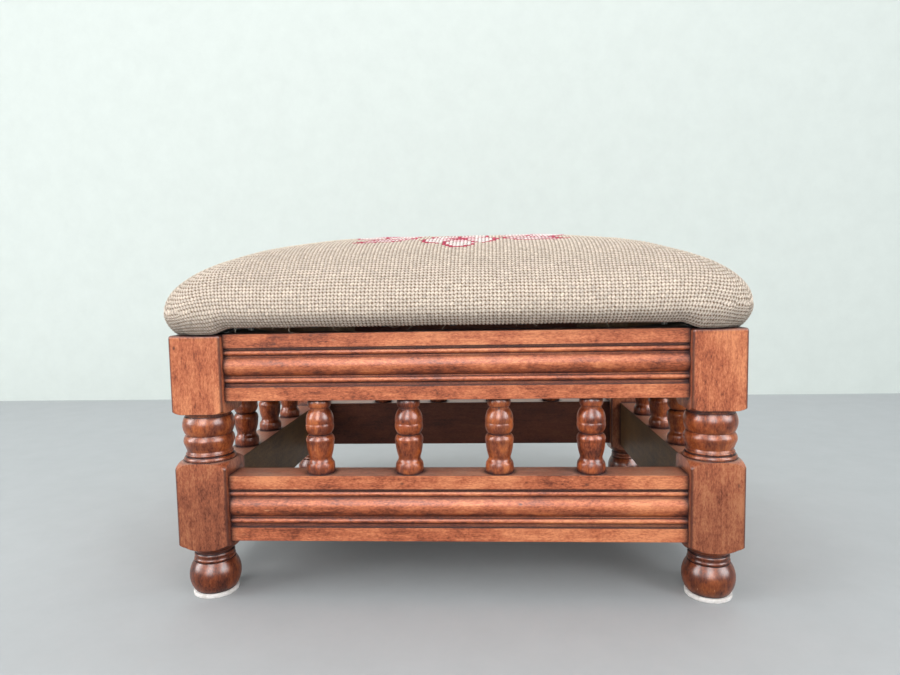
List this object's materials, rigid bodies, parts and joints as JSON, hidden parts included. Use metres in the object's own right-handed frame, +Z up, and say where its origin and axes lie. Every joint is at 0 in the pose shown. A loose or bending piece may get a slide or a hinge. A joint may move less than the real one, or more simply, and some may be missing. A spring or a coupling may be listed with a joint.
{
  "type": "upholstered footstool",
  "caption": "Low rectangular footstool with a domed needlepoint seat on turned corner posts, reeded rails and turned spindles, standing on bun feet.",
  "frame": {"origin": "on the floor, under the centre of the stool", "axes": "+X along the long side, +Y to the rear, +Z up"},
  "size_m": [0.4002, 0.3204, 0.2578],
  "materials": {
    "polished_hardwood": "red brown shellac, satin, worn on the edges",
    "bare_pine": "unfinished, planed",
    "beech_dowel": "unfinished",
    "needlepoint": "wool half cross stitch on canvas",
    "stuffing": "cotton wadding",
    "black_cloth": "thin black cambric",
    "felt": "pressed felt",
    "steel": "plain wood screw",
    "blued_tacks": "blued cut tack"
  },
  "bodies": {
    "root": {"dust_cloth": "black_cloth", "front_left_corner_block": "bare_pine", "front_left_felt_pad": "felt", "front_left_post": "polished_hardwood", "front_lower_rail": "polished_hardwood", "front_right_corner_block": "bare_pine", "front_right_felt_pad": "felt", "front_right_post": "polished_hardwood", "front_spindle_1": "polished_hardwood", "front_spindle_2": "polished_hardwood", "front_spindle_3": "polished_hardwood", "front_spindle_4": "polished_hardwood", "front_upper_rail": "polished_hardwood", "left_lower_rail": "polished_hardwood", "left_spindle_1": "polished_hardwood", "left_spindle_2": "polished_hardwood", "left_spindle_3": "polished_hardwood", "left_upper_rail": "polished_hardwood", "lower_rail_dowels": "beech_dowel", "needlepoint_cover": "needlepoint", "rear_left_corner_block": "bare_pine", "rear_left_felt_pad": "felt", "rear_left_post": "polished_hardwood", "rear_lower_rail": "polished_hardwood", "rear_right_corner_block": "bare_pine", "rear_right_felt_pad": "felt", "rear_right_post": "polished_hardwood", "rear_spindle_1": "polished_hardwood", "rear_spindle_2": "polished_hardwood", "rear_spindle_3": "polished_hardwood", "rear_spindle_4": "polished_hardwood", "rear_upper_rail": "polished_hardwood", "right_lower_rail": "polished_hardwood", "right_spindle_1": "polished_hardwood", "right_spindle_2": "polished_hardwood", "right_spindle_3": "polished_hardwood", "right_upper_rail": "polished_hardwood", "seat_board": "bare_pine", "seat_padding": "stuffing", "seat_screws": "steel", "seat_tacks": "blued_tacks", "upper_rail_dowels": "beech_dowel"}
  },
  "joints": []
}
